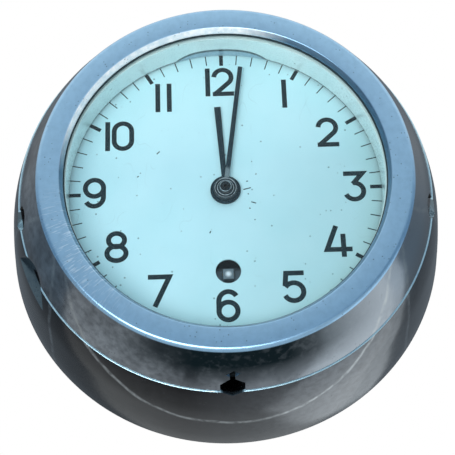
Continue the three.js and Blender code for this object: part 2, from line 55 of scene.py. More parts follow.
# Corners of the turned profiles: distance from the dial's axis, height, and how softly it is rounded.
CASE_PROFILE = [
    (110, 0, 0.8), (107.9, 17.5, 6), (105, 36.7, 6), (102.6, 46.4, 5), (99.9, 55.2, 0.3),
    (94.5, 55.2, 0.1), (94.5, 57.4, 0.3), (91.5, 57.4, 0.3), (91.5, 41, 1), (100.6, 31, 3),
    (103, 5, 1.5), (0, 5, 0), (0, 0, 0),
]
COVER_PROFILE = [
    (96.4, 55.6, 0.2), (99.3, 55.6, 0.3), (95.6, 64.6, 4), (91.1, 73.1, 3), (88.3, 78.5, 0.9),
    (87.2, 79.7, 0.9), (77.4, 79.7, 0.5), (75.9, 77.2, 0.4), (75.9, 76.2, 0.2), (79.6, 76.2, 0),
    (79.6, 66, 0.1), (81.8, 66, 0.1), (81.8, 75.4, 0.2), (85.2, 75.4, 0.8),
]
RETAINING_RING_PROFILE = [(75.1, 57.2, 0.5), (79.2, 57.2, 0.3), (79.2, 72.7, 0.3), (75.1, 72.7, 0.3)]
GASKET_PROFILE = [(75.4, 75.3, 0.1), (79.2, 75.3, 0.1), (79.2, 75.9, 0.1), (75.4, 75.9, 0.15)]
GLASS_PROFILE = [(0, 73, 0), (79, 73, 0.4), (79, 75, 0.4), (0, 75, 0)]
DIAL_PROFILE = [(3.5, 55, 0.1), (78, 55, 0.1), (78, 56, 0.25), (3.5, 56, 0.2)]

SEAM_HEIGHT = 55.2
CASE_RIM_EDGE = 98.6
BEZEL_FACE_EDGE = 87.4
CHAMFER_EDGE = 77.2
RING_SHADE_TOP = 58
RING_FOOT = 57.2
BOSS_RADIUS = 5.5
CASE_INSIDE = {"top": 57.5, "hidden_within": 96}
COVER_INSIDE = {"top": 75.6, "hidden_within": 83}
CASE_CUT = (88, 112)
COVER_CUT = (84, 112)
KEY_OPENING = [
    (-5.6, 50), (5.8, 50), (5.8, 60.4), (1.4, 63), (1.3, 64.6), (3.8, 66.2), (0.8, 67.8),
    (-3, 65.6), (-1.1, 64.4), (-1.1, 62.8), (-2, 62.4), (-5.6, 59.4),
]
SIDE_OPENING = [(-5.6, 50), (5.6, 50), (5.6, 60.2), (1.6, 63), (-1.6, 63), (-5.6, 60.2)]
SIDE_ANGLES = (97, 263)
LOCK_ANGLE = 180
NOTCH_HALF_WIDTH = 5.4
SIDE_NOTCH_DEPTH = 5.5
LOCK_NOTCH_DEPTH = 2.8
THUMB_NOTCH = {"angle": 247, "distance": 123, "radius": 25.4, "floor": 43.2}
HINGE = {"y": 100.6, "z": 54.3, "knuckle": 2.4, "bore": 1.3, "half": 9, "gap": 0.3}
MOUNTING_ANGLES = (90, 210, 330)
MOUNTING_CIRCLE = 84.5
MOUNTING_HOLE = 3.5

# Places and planes of painted marks, in the row frame: where the bezel's face is most scuffed, the painted
# dark reflection on the cover under 6 o'clock, the planes of the pale painted reflections (direction,
# distance) and the dial's stain.
SCUFF_PLACE = Vector((-0.072, -0.0797, -0.042))
DARK_REFLECTION_PLACE = Vector((0.004, -0.075, -0.091))
PALE_REFLECTION_PLANES = [((0, -1, -0.9), 0.1224), ((1, 0, 0.35), 0.0645), ((-0.42, 0, 1), -0.057)]
STAIN_PLACE = Vector((0.0275, -0.056, -0.0672))

DIAL_FRONT = 56
WINDING_DISTANCE = 41.5
WINDING_WHEEL_CENTRE = Vector((0, -0.048, -0.0415))
WINDING_ARBOR_END = Vector((0, -0.0525, -0.0415))
WINDING_HOLE = 6
DIAL_FOOT_ANGLES = (30, 150, 270)
DIAL_FOOT_CIRCLE = 56
MINUTE_HAND_ANGLE = 8
HOUR_HAND_ANGLE = -3.4

# ------------------------------------------------------------------ points and faces


def upright(x, y, z):
    return Vector((x, -z, y)) * MM


def place(distance, clock_angle):
    angle = math.radians(clock_angle)
    return distance * math.sin(angle), distance * math.cos(angle)


def softened(profile, steps=4):
    """The profile as (distance, height) points, each corner bent round over its softness."""
    corners = [Vector(corner[:2]) for corner in profile]
    points = []
    for index, (_, _, softness) in enumerate(profile):
        corner = corners[index]
        before = corners[index - 1] - corner
        after = corners[(index + 1) % len(corners)] - corner
        if softness == 0:
            points.append(tuple(corner))
            continue
        start = corner + before.normalized() * min(softness, 0.45 * before.length)
        end = corner + after.normalized() * min(softness, 0.45 * after.length)
        for step in range(steps + 1):
            share = step / steps
            point = start * (1 - share) ** 2 + corner * 2 * share * (1 - share) + end * share**2
            points.append(tuple(point))
    return points


def turned(profile, segments=FINE_SEGMENTS):
    """A shape turned about the dial's axis from a closed loop of (distance, height) points."""
    count = len(profile)
    points = []
    for step in range(segments):
        turn = math.tau * step / segments
        points += [(r * math.sin(turn), r * math.cos(turn), z) for r, z in profile]
    faces = []
    for step in range(segments):
        here = step * count
        there = (step + 1) % segments * count
        for corner in range(count):
            after = (corner + 1) % count
            faces.append((here + corner, here + after, there + after, there + corner))
    return points, faces


def prism(outline, bottom, top):
    count = len(outline)
    points = [(x, y, bottom) for x, y in outline] + [(x, y, top) for x, y in outline]
    faces = [tuple(reversed(range(count))), tuple(range(count, 2 * count))]
    for corner in range(count):
        after = (corner + 1) % count
        faces.append((corner, after, count + after, count + corner))
    return points, faces


def circle(radius, centre=(0, 0), segments=SMALL_SEGMENTS):
    turns = [math.tau * step / segments for step in range(segments)]
    return [(centre[0] + radius * math.cos(t), centre[1] + radius * math.sin(t)) for t in turns]


def turned_to(shape, clock_angle):
    points, faces = shape
    cosine = math.cos(math.radians(clock_angle))
    sine = math.sin(math.radians(clock_angle))
    return [(x * cosine + y * sine, y * cosine - x * sine, z) for x, y, z in points], faces


def radial_prism(outline, clock_angle, inner, outer):
    """An outline in x and height, drawn at 6 o'clock as seen from outside, between two distances."""
    points, faces = prism(outline, inner, outer)
    return turned_to(([(x, -distance, z) for x, z, distance in points], faces), clock_angle - 180)


def across(shape):
    """Turns a shape about the dial's axis so that it lies along the hinge pin."""
    points, faces = shape
    return [(z, x + HINGE["y"], y + HINGE["z"]) for x, y, z in points], faces


def block(x_range, y_range, z_range):
    (x0, x1), (y0, y1) = x_range, y_range
    return prism([(x0, y0), (x1, y0), (x1, y1), (x0, y1)], *z_range)


def joined(*shapes):
    points, faces = [], []
    for more_points, more_faces in shapes:
        start = len(points)
        points += more_points
        faces += [tuple(start + corner for corner in face) for face in more_faces]
    return points, faces


# ------------------------------------------------------------------ Blender objects


def make_piece(name, shape, *materials):
    points, faces = shape
    mesh = bpy.data.meshes.new(name)
    mesh.from_pydata([upright(*point) for point in points], [], faces)
    work = bmesh.new()
    work.from_mesh(mesh)
    bmesh.ops.remove_doubles(work, verts=work.verts, dist=WELD)
    bmesh.ops.recalc_face_normals(work, faces=work.faces)
    work.to_mesh(mesh)
    work.free()
    for material in materials:
        mesh.materials.append(material)
    piece = bpy.data.objects.new(name, mesh)
    bpy.context.scene.collection.objects.link(piece)
    return piece


def apply_modifiers(piece):
    bpy.context.view_layer.update()
    depsgraph = bpy.context.evaluated_depsgraph_get()
    mesh = bpy.data.meshes.new_from_object(piece.evaluated_get(depsgraph))
    piece.modifiers.clear()
    piece.data = mesh


def cut(piece, *shapes):
    for shape in shapes:
        tool = make_piece("cutting_tool", shape)
        modifier = piece.modifiers.new("cut", "BOOLEAN")
        modifier.operation = "DIFFERENCE"
        modifier.solver = "EXACT"
        modifier.object = tool
        apply_modifiers(piece)
        bpy.data.objects.remove(tool, do_unlink=True)


def add_shape(piece, shape):
    """Adds closed shapes that touch the piece, such as a hinge knuckle on its case."""
    extra = make_piece("extra", shape)
    work = bmesh.new()
    work.from_mesh(piece.data)
    work.from_mesh(extra.data)
    work.to_mesh(piece.data)
    work.free()
    bpy.data.objects.remove(extra, do_unlink=True)


def soften_edges(piece, width, segments=2):
    modifier = piece.modifiers.new("soft_edges", "BEVEL")
    modifier.width = width * MM
    modifier.segments = segments
    modifier.limit_method = "ANGLE"
    modifier.angle_limit = SHARP_ANGLE
    apply_modifiers(piece)


def dull_and_shade_the_inside(piece, top, hidden_within):
    # The second material is unpolished metal, made dark as painted shade.
    """Gives the second material, below a height, to faces that look inwards, sideways or back.

    Faces nearer to the dial's axis than hidden_within get it too.
    """
    for polygon in piece.data.polygons:
        outwards = Vector((polygon.center.x, 0, polygon.center.z))
        radius = outwards.length
        outwards.normalize()
        inwards = polygon.normal.dot(outwards) < 0.3 and polygon.normal.y > -0.5
        if (inwards or radius < hidden_within * MM) and -polygon.center.y < top * MM:
            polygon.material_index = 1


def settle(piece, body, slot, *nodes):
    """Smooths the piece's turned faces, ties it to its body and hides the nodes it stands for. slot is not
    used.
    """
    for polygon in piece.data.polygons:
        polygon.use_smooth = True
    piece.data.set_sharp_from_angle(angle=SHARP_ANGLE)
    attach(piece, body)
    if nodes:
        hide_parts(*nodes)


# ------------------------------------------------------------------ materials


def rgb(red, green, blue):
    return red, green, blue, 1.0


class Nodes:
    """Adds nodes to a shader tree. A socket given as a value is linked, anything else is set."""

    def __init__(self, tree):
        self.tree = tree

    def set(self, node, sockets):
        for key, value in sockets.items():
            if isinstance(value, bpy.types.NodeSocket):
                self.tree.links.new(value, node.inputs[key])
            else:
                node.inputs[key].default_value = value

    def add(self, kind, sockets=None, **settings):
        node = self.tree.nodes.new(kind)
        for name, value in settings.items():
            setattr(node, name, value)
        self.set(node, sockets or {})
        return node

    def math(self, operation, first, second=0.0):
        return self.add("ShaderNodeMath", {0: first, 1: second}, operation=operation).outputs[0]

    def ramp(self, value, start, end, low=0.0, high=1.0):
        sockets = {"Value": value, "From Min": start, "From Max": end, "To Min": low, "To Max": high}
        return self.add("ShaderNodeMapRange", sockets).outputs[0]

    def mix(self, share, first, second):
        return self.add("ShaderNodeMix", {0: share, 6: first, 7: second}, data_type="RGBA").outputs[2]

    def split(self, vector):
        return self.add("ShaderNodeSeparateXYZ", {0: vector}).outputs


class Finish(Nodes):
    """A material on one Principled shader, its pattern drawn in the piece's own space, in metres."""

    def __init__(self, name, sockets):
        self.material = bpy.data.materials.new(name)
        self.material.use_nodes = True
        super().__init__(self.material.node_tree)
        self.shader = self.tree.nodes["Principled BSDF"]
        self.place = self.add("ShaderNodeTexCoord").outputs["Object"]
        self.set(self.shader, sockets)

    def noise(self, vector, scale, detail=3.0, roughness=0.55):
        sockets = {"Vector": vector, "Scale": scale, "Detail": detail, "Roughness": roughness}
        return self.add("ShaderNodeTexNoise", sockets).outputs[0]

    def cells(self, vector, scale):
        return self.add("ShaderNodeTexVoronoi", {"Vector": vector, "Scale": scale}).outputs["Distance"]

    def vector(self, x, y, z):
        return self.add("ShaderNodeCombineXYZ", {0: x, 1: y, 2: z}).outputs[0]

    def stretched(self, x, y, z):
        sockets = {0: self.place, 1: (x, y, z)}
        return self.add("ShaderNodeVectorMath", sockets, operation="MULTIPLY").outputs[0]

    def about_axis(self):
        """Distance from the dial's axis, height above the bulkhead and clock angle in radians."""
        x, y, z = self.split(self.place)
        squares = self.math("ADD", self.math("MULTIPLY", x, x), self.math("MULTIPLY", z, z))
        return self.math("SQRT", squares), self.math("MULTIPLY", y, -1.0), self.math("ARCTAN2", x, z)

    def turning_marks(self, scale):
        """Fine lines that run round the dial's axis, as a lathe leaves them."""
        radius, height, angle = self.about_axis()
        return self.noise(self.vector(radius, height, self.math("MULTIPLY", angle, 0.004)), scale)

    def facing_forwards(self):
        """1 on faces that look away from the bulkhead, 0 on the flanks."""
        normal = self.add("ShaderNodeTexCoord").outputs["Normal"]
        _, back, _ = self.split(normal)
        return self.ramp(back, -0.56, -0.49, 1.0, 0.0)

    def within(self, radius, limit):
        """1 nearer to the dial's axis than a limit in millimetres, fading out over half a millimetre."""
        return self.ramp(radius, limit * MM, (limit + 0.5) * MM, 1.0, 0.0)

    def near(self, point, reach):
        """1 at a point in the row frame, fading to 0 at a distance in millimetres."""
        sockets = {0: self.place, 1: tuple(point)}
        distance = self.add("ShaderNodeVectorMath", sockets, operation="DISTANCE").outputs["Value"]
        return self.ramp(distance, 0.3 * reach * MM, reach * MM, 1.0, 0.0)

    def scratches(self, direction, scale, width):
        """1 along a few thin wandering lines, else 0."""
        field = self.noise(self.stretched(*direction), scale, 1.0)
        off_line = self.math("ABSOLUTE", self.math("SUBTRACT", field, 0.5))
        here_and_there = self.ramp(self.noise(self.place, scale * 0.8), 0.52, 0.6)
        return self.math("MULTIPLY", self.ramp(off_line, 0.0, width, 1.0, 0.0), here_and_there)

    def spots(self, scale, size, share):
        """1 in small scattered spots, else 0. A larger share keeps more of them."""
        spot = self.ramp(self.cells(self.place, scale), size * 0.6, size, 1.0, 0.0)
        kept = self.ramp(self.noise(self.place, scale * 0.37, 1.0), 0.72 - share, 0.74 - share)
        return self.math("MULTIPLY", spot, kept)

    def bump(self, height, distance, strength=1.0):
        sockets = {"Height": height, "Distance": distance * MM, "Strength": strength}
        return self.add("ShaderNodeBump", sockets).outputs[0]

    def use(self, sockets):
        self.set(self.shader, sockets)
        return self.material


def bezel_face(finish):
    """1 on the cover's flat face and on all that lies within it."""
    radius, _, _ = finish.about_axis()
    return finish.math("MAXIMUM", finish.facing_forwards(), finish.within(radius, BEZEL_FACE_EDGE))


def case_rim(finish):
    """1 on the case's outer rim, less on the floor of the thumb notch."""
    radius, height, _ = finish.about_axis()
    outer = finish.ramp(radius, CASE_RIM_EDGE * MM, (CASE_RIM_EDGE + 0.4) * MM)
    level = finish.ramp(height, (SEAM_HEIGHT - 0.6) * MM, (SEAM_HEIGHT - 0.3) * MM, 0.2, 1.0)
    return finish.math("MULTIPLY", finish.math("MULTIPLY", outer, level), finish.facing_forwards())


def pale_reflection_marks(finish):
    """1 along a few long wandering pale painted reflections, where the planes listed above meet the metal.
    """
    x, y, z = finish.split(finish.place)
    folded = finish.vector(finish.math("ABSOLUTE", x), y, z)
    wander = finish.ramp(finish.noise(finish.place, 35), 0, 1, -2.5 * MM, 2.5 * MM)
    marks = 0.0
    for direction, distance in PALE_REFLECTION_PLANES:
        sockets = {0: folded, 1: direction}
        along = finish.add("ShaderNodeVectorMath", sockets, operation="DOT_PRODUCT").outputs["Value"]
        off = finish.math("ABSOLUTE", finish.math("SUBTRACT", finish.math("ADD", along, wander), distance))
        marks = finish.math("MAXIMUM", marks, finish.ramp(off, 0.4 * MM, 1.5 * MM, 1.0, 0.0))
    broken = finish.ramp(finish.noise(finish.place, 260), 0.35, 0.6, 0.2, 1.0)
    return finish.math("MULTIPLY", marks, broken)


def cross_scuffs(finish):
    """1 along short scuffs that cross the bezel's lower left."""
    radius, _, angle = finish.about_axis()
    around = finish.math("MULTIPLY", angle, SCUFF_PLACE.length)
    across_it = finish.math("MULTIPLY", radius, 0.16)
    lines = finish.ramp(finish.noise(finish.vector(around, across_it, 0.0), 1000, 2.0), 0.54, 0.66)
    return finish.math("MULTIPLY", lines, finish.near(SCUFF_PLACE, 42))


def lit_edge(finish):
    """1 on the chamfer round the window from half past nine to half past twelve.

    The photo shows a bright reflection there, and this paints it.
    """
    radius, _, angle = finish.about_axis()
    off = finish.math("ABSOLUTE", finish.math("ADD", angle, 0.55))
    part = finish.ramp(off, 0.65, 1.0, 1.0, 0.0)
    return finish.math("MULTIPLY", finish.within(radius, CHAMFER_EDGE + 0.4), part)


def flank_colour(finish, dark, light, right_sheen, clouds, mottle):
    """Cloudy tarnish, a painted sheen on the right side, a painted dark reflection under 6 o'clock and pale
    painted reflections.
    """
    x, _, z = finish.split(finish.place)
    _, height, _ = finish.about_axis()
    streaks = finish.ramp(finish.noise(finish.stretched(1.0, 0.22, 1.0), 85, 3.0), 0.44, 0.68)
    # Painted sheen: the right side is paler.
    right = finish.ramp(finish.math("SUBTRACT", x, finish.math("MULTIPLY", z, 0.25)), 5 * MM, 70 * MM)
    right = finish.math("MULTIPLY", right, finish.ramp(mottle, 0.3, 0.6, 0.65, 1.0))
    # Painted dark reflection under 6 o'clock.
    dark_reflection = finish.math("MULTIPLY", finish.near(DARK_REFLECTION_PLACE, 72), finish.ramp(height, 58 * MM, 70 * MM))
    dark_reflection = finish.math("MULTIPLY", dark_reflection, finish.ramp(mottle, 0.25, 0.5, 0.75, 1.0))
    colour = finish.mix(clouds, dark, light)
    colour = finish.mix(finish.math("MULTIPLY", streaks, 0.7), colour, light)
    colour = finish.mix(finish.ramp(mottle, 0.4, 0.75, 0.0, 0.6), colour, dark)
    colour = finish.mix(right, colour, right_sheen)
    colour = finish.mix(dark_reflection, colour, rgb(0.006, 0.014, 0.018))
    # Pale painted reflections along the long marks.
    return finish.mix(finish.math("MULTIPLY", pale_reflection_marks(finish), 0.75), colour, rgb(0.34, 0.36, 0.37))


def worn_colour(finish, worn, mottle, lit):
    """The worn bright metal of the faces, and the chamfer round the window.

    Its blue is mostly a painted reflection, and the chamfer's bright arc is a painted reflection too.
    """
    radius, _, _ = finish.about_axis()
    colour = finish.mix(finish.ramp(mottle, 0.4, 0.7, 0.0, 0.5), worn, rgb(0.24, 0.4, 0.56))
    # The chamfer's bright arc: a painted reflection.
    bright = finish.mix(finish.ramp(mottle, 0.35, 0.65), rgb(0.7, 0.8, 0.86), rgb(1, 1, 1))
    chamfer = finish.mix(lit, rgb(0.14, 0.23, 0.33), bright)
    return finish.mix(finish.within(radius, CHAMFER_EDGE), colour, chamfer)


def aged_nickel(name, dark, light, right_sheen, worn, worn_face):
    """Plated metal: tarnished flanks with a painted sheen and painted reflections, and worn bright where
    worn_face says so, with a painted blue reflection.
    """
    finish = Finish(name, {})
    clouds = finish.ramp(finish.noise(finish.place, 26, 4.0), 0.36, 0.66)
    grain = finish.turning_marks(1500)
    mottle = finish.noise(finish.place, 300, 4.0)
    face = worn_face(finish)
    pits = finish.spots(520, 0.2, 0.16)
    lit = lit_edge(finish)
    scuffs = finish.math("MULTIPLY", finish.math("MULTIPLY", cross_scuffs(finish), 0.45), face)
    flank = flank_colour(finish, dark, light, right_sheen, clouds, mottle)
    colour = finish.mix(face, flank, worn_colour(finish, worn, mottle, lit))
    colour = finish.mix(finish.math("MULTIPLY", pits, 0.55), colour, rgb(0.05, 0.06, 0.07))
    colour = finish.mix(scuffs, colour, rgb(0.75, 0.88, 1.0))
    gloss = finish.ramp(face, 0, 1, 0.12, 0.25)
    relief = finish.math("SUBTRACT", finish.math("MULTIPLY", grain, 0.25), pits)
    relief = finish.math("ADD", relief, finish.math("MULTIPLY", clouds, 0.8))
    return finish.use({
        "Base Color": colour,
        # Metallic is lower on the painted reflection, so that it stays bright.
        "Metallic": finish.ramp(lit, 0, 1, 1.0, 0.3),
        "Roughness": finish.math("ADD", gloss, finish.math("MULTIPLY", grain, 0.1)),
        "Normal": finish.bump(relief, 0.03, 0.6),
    })


def dull_shaded_casting():
    """The unpolished inside of the case and cover, made dark as painted shade."""
    finish = Finish("dull_shaded_casting", {"Metallic": 0.4})
    grain = finish.noise(finish.place, 700, 4.0)
    colour = finish.mix(finish.ramp(grain, 0.35, 0.7), rgb(0.012, 0.012, 0.014), rgb(0.04, 0.038, 0.036))
    return finish.use({
        "Base Color": colour,
        "Roughness": finish.ramp(grain, 0, 1, 0.55, 0.8),
        "Normal": finish.bump(grain, 0.08),
    })


def dial_enamel():
    """White dial paint gone pale blue-green, with chips, hair scratches and a stain.

    Painted light makes it lighter at the top; painted shade, with some staining near the edge, makes it
    darker at the lower right.
    """
    finish = Finish("dial_enamel", {"Coat Weight": 0.15, "Coat Roughness": 0.25})
    x, _, z = finish.split(finish.place)
    radius, _, _ = finish.about_axis()
    clouds = finish.noise(finish.place, 30, 4.0)
    peel = finish.noise(finish.place, 900, 2.0)
    # Painted shade: darker towards the lower right.
    shade_lower_right = finish.ramp(finish.math("SUBTRACT", x, finish.math("MULTIPLY", z, 0.55)), -0.005, 0.085)
    colour = finish.mix(finish.ramp(clouds, 0.3, 0.7), rgb(0.5, 0.745, 0.82), rgb(0.535, 0.785, 0.855))
    colour = finish.mix(finish.math("MULTIPLY", shade_lower_right, 0.85), colour, rgb(0.37, 0.56, 0.6))
    # Painted shade with some staining: darker near the edge at the lower right.
    edge_shade_and_stain = finish.math("MULTIPLY", finish.ramp(radius, 0.062, 0.076), shade_lower_right)
    colour = finish.mix(finish.math("MULTIPLY", edge_shade_and_stain, 0.6), colour, rgb(0.36, 0.53, 0.52))
    # Painted light: lighter towards the top.
    colour = finish.mix(finish.ramp(z, 0.015, 0.07), colour, rgb(0.64, 0.92, 0.97))
    chips = finish.math("ADD", finish.spots(230, 0.13, 0.15), finish.spots(420, 0.2, 0.05))
    hairs = finish.scratches((1.0, 1.0, 0.5), 70, 0.004)
    stain = finish.ramp(finish.noise(finish.place, 500, 3.0), 0.35, 0.6, 0.0, 0.8)
    stain = finish.math("MULTIPLY", stain, finish.near(STAIN_PLACE, 3.2))
    colour = finish.mix(finish.math("MULTIPLY", chips, 0.75), colour, rgb(0.1, 0.18, 0.2))
    colour = finish.mix(finish.math("MULTIPLY", hairs, 0.3), colour, rgb(0.25, 0.38, 0.42))
    colour = finish.mix(stain, colour, rgb(0.34, 0.22, 0.16))
    return finish.use({
        "Base Color": colour,
        "Roughness": finish.ramp(clouds, 0, 1, 0.42, 0.55),
        "Normal": finish.bump(finish.math("SUBTRACT", peel, chips), 0.02, 0.5),
    })


def dial_print():
    finish = Finish("dial_print", {"Specular IOR Level": 0.12})
    wear = finish.noise(finish.place, 800, 4.0)
    colour = finish.mix(finish.ramp(wear, 0.45, 0.8), rgb(0.003, 0.012, 0.017), rgb(0.016, 0.04, 0.05))
    return finish.use({
        "Base Color": colour,
        "Roughness": finish.ramp(wear, 0, 1, 0.45, 0.7),
        "Normal": finish.bump(wear, 0.02, 0.4),
    })


def cream_gloss():
    """Thick glossy paint on the ring that holds the glass, with a painted shadow along its foot over the
    dial and a painted reflection of the dial under 12 o'clock.
    """
    finish = Finish("cream_gloss", {"Coat Weight": 0.7, "Coat Roughness": 0.1})
    _, height, angle = finish.about_axis()
    clouds = finish.noise(finish.place, 60, 4.0)
    fine = finish.noise(finish.place, 1200, 2.0)
    colour = finish.mix(finish.ramp(clouds, 0.3, 0.7), rgb(0.68, 0.82, 0.82), rgb(0.76, 0.88, 0.87))
    chips = finish.spots(300, 0.16, 0.12)
    # Painted shadow: a dark band along the ring's foot, over the gap to the dial.
    edge = finish.math("ADD", height, finish.ramp(fine, 0.3, 0.7, -0.3 * MM, 0.3 * MM))
    bare = finish.ramp(edge, RING_SHADE_TOP * MM, (RING_SHADE_TOP + 0.3) * MM, 1.0, 0.0)
    colour = finish.mix(finish.math("MULTIPLY", chips, 0.7), colour, rgb(0.05, 0.06, 0.06))
    colour = finish.mix(bare, colour, rgb(0.015, 0.035, 0.045))
    crescent, line = dial_mirrored(finish, height, angle)
    colour = finish.mix(crescent, colour, rgb(0.28, 0.42, 0.52))
    colour = finish.mix(line, colour, rgb(0.02, 0.05, 0.06))
    return finish.use({
        "Base Color": colour,
        "Roughness": finish.ramp(fine, 0, 1, 0.22, 0.34),
        "Normal": finish.bump(finish.math("SUBTRACT", fine, chips), 0.02, 0.4),
    })


def dial_mirrored(finish, height, angle):
    """The dial's reflection under 12 o'clock, painted: a crescent and the dark line along its top."""
    off_top = finish.math("ABSOLUTE", angle)
    reach = finish.ramp(finish.math("POWER", off_top, 4.0), 0.0, 0.0095, 5.0 * MM, 0.0)
    above = finish.math("SUBTRACT", finish.math("SUBTRACT", height, RING_FOOT * MM), reach)
    here = finish.ramp(off_top, 0.3, 0.32, 1.0, 0.0)
    crescent = finish.ramp(above, -0.4 * MM, -0.2 * MM, 1.0, 0.0)
    line = finish.ramp(finish.math("ABSOLUTE", above), 0.7 * MM, 1.1 * MM, 1.0, 0.0)
    return finish.math("MULTIPLY", crescent, here), finish.math("MULTIPLY", line, here)


def old_glass():
    """Clear glass with a faint film: mostly see-through, with its reflections."""
    finish = Finish("old_glass", {})
    film = finish.noise(finish.place, 45, 5.0)
    facing = finish.add("ShaderNodeFresnel", {"IOR": 1.5}).outputs[0]
    gloss = finish.add("ShaderNodeBsdfGlossy", {
        "Color": rgb(0.85, 0.95, 1.0), "Roughness": finish.ramp(film, 0.3, 0.8, 0.02, 0.12),
    })
    clear = finish.add("ShaderNodeBsdfTransparent", {
        "Color": finish.mix(finish.ramp(film, 0.4, 0.8), rgb(0.985, 1.0, 1.0), rgb(0.95, 0.985, 0.985)),
    })
    both = finish.add("ShaderNodeMixShader", {0: finish.math("MULTIPLY", facing, 0.45)})
    finish.tree.links.new(clear.outputs[0], both.inputs[1])
    finish.tree.links.new(gloss.outputs[0], both.inputs[2])
    output = finish.tree.nodes["Material Output"]
    finish.tree.links.new(both.outputs[0], output.inputs["Surface"])
    finish.tree.nodes.remove(finish.shader)
    return finish.material


def gasket_rubber():
    finish = Finish("gasket_rubber", {"Specular IOR Level": 0.35})
    grain = finish.noise(finish.place, 1500, 4.0)
    colour = finish.mix(finish.ramp(grain, 0.3, 0.75), rgb(0.006, 0.014, 0.018), rgb(0.03, 0.055, 0.065))
    return finish.use({
        "Base Color": colour,
        "Roughness": finish.ramp(grain, 0, 1, 0.6, 0.85),
        "Normal": finish.bump(grain, 0.05),
    })


def blackened_hand(name, bare_to):
    """A blue-black hand, rubbed bare out to a distance from the hub in millimetres, with turned rings."""
    finish = Finish(name, {"Metallic": 0.6, "Specular IOR Level": 0.3})
    radius, _, _ = finish.about_axis()
    patches = finish.noise(finish.place, 420, 4.0)
    edge = finish.math("ADD", radius, finish.ramp(patches, 0.3, 0.7, -1.6 * MM, 1.6 * MM))
    black = finish.ramp(edge, (bare_to - 0.8) * MM, (bare_to + 0.8) * MM)
    rubbed = finish.ramp(finish.noise(finish.place, 900, 3.0), 0.56, 0.72, 0.0, 0.35)
    hub = finish.within(radius, BOSS_RADIUS)
    bare_colour = finish.mix(hub, rgb(0.16, 0.2, 0.22), ring_colour(finish, radius))
    dark_colour = finish.mix(rubbed, rgb(0.005, 0.022, 0.034), rgb(0.06, 0.1, 0.12))
    return finish.use({
        "Base Color": finish.mix(black, bare_colour, dark_colour),
        "Roughness": finish.ramp(patches, 0, 1, 0.4, 0.65),
        "Normal": finish.bump(patches, 0.06, 0.6),
    })


def ring_colour(finish, radius):
    """Light edges of turned rings on dark metal, worn unevenly."""
    turns = finish.math("MULTIPLY", finish.math("SUBTRACT", radius, 2.7 * MM), math.tau / (1.2 * MM))
    line = finish.ramp(finish.math("COSINE", turns), 0.35, 0.95)
    worn = finish.ramp(finish.noise(finish.place, 800, 3.0), 0.3, 0.55, 0.25, 1.0)
    return finish.mix(finish.math("MULTIPLY", line, worn), rgb(0.012, 0.022, 0.03), rgb(0.4, 0.46, 0.5))


def ringed_nut():
    finish = Finish("ringed_nut", {"Metallic": 0.8})
    radius, _, _ = finish.about_axis()
    grain = finish.noise(finish.place, 1500, 3.0)
    return finish.use({
        "Base Color": ring_colour(finish, radius),
        "Roughness": finish.ramp(grain, 0, 1, 0.3, 0.55),
        "Normal": finish.bump(grain, 0.02),
    })


def winding_steel():
    """Oily steel behind the winding hole, with a dull ring round the arbor.

    The shadow below the top of the hole and the bright spot on the arbor's end are painted.
    """
    finish = Finish("winding_steel", {"Metallic": 0.9})
    grain = finish.noise(finish.place, 1100, 3.0)
    away = finish.math("SUBTRACT", 1.0, finish.near(WINDING_WHEEL_CENTRE, 4.6))
    shine = finish.near(WINDING_ARBOR_END, 1.8)
    _, _, z = finish.split(finish.place)
    shaded = finish.ramp(z, -38.8 * MM, -36.6 * MM)
    colour = finish.mix(finish.ramp(grain, 0.3, 0.7), rgb(0.006, 0.01, 0.014), rgb(0.02, 0.03, 0.038))
    colour = finish.mix(finish.math("MULTIPLY", away, 0.8), colour, rgb(0.24, 0.3, 0.34))
    colour = finish.mix(shaded, colour, rgb(0.002, 0.003, 0.004))
    return finish.use({
        "Base Color": finish.mix(shine, colour, rgb(0.9, 0.95, 1.0)),
        "Roughness": finish.ramp(grain, 0, 1, 0.3, 0.5),
        "Normal": finish.bump(grain, 0.03),
    })


def machined(name, low, high, rough, scale=900):
    """Bare metal with soft tool marks and a little tarnish."""
    finish = Finish(name, {"Metallic": 1.0})
    marks = finish.noise(finish.stretched(1.0, 0.3, 1.0), scale, 3.0)
    tarnish = finish.noise(finish.place, 90, 4.0)
    colour = finish.mix(finish.ramp(tarnish, 0.35, 0.68), low, high)
    return finish.use({
        "Base Color": finish.mix(finish.ramp(marks, 0.6, 0.8, 0.0, 0.3), colour, low),
        "Roughness": finish.ramp(marks, 0, 1, rough - 0.08, rough + 0.1),
        "Normal": finish.bump(marks, 0.02, 0.4),
    })


def plain_floor():
    finish = Finish("plain_floor", {"Specular IOR Level": 0.1})
    grain = finish.noise(finish.place, 6, 3.0)
    colour = finish.mix(grain, rgb(0.62, 0.64, 0.66), rgb(0.68, 0.70, 0.72))
    return finish.use({"Base Color": colour, "Roughness": finish.ramp(grain, 0, 1, 0.8, 0.95)})


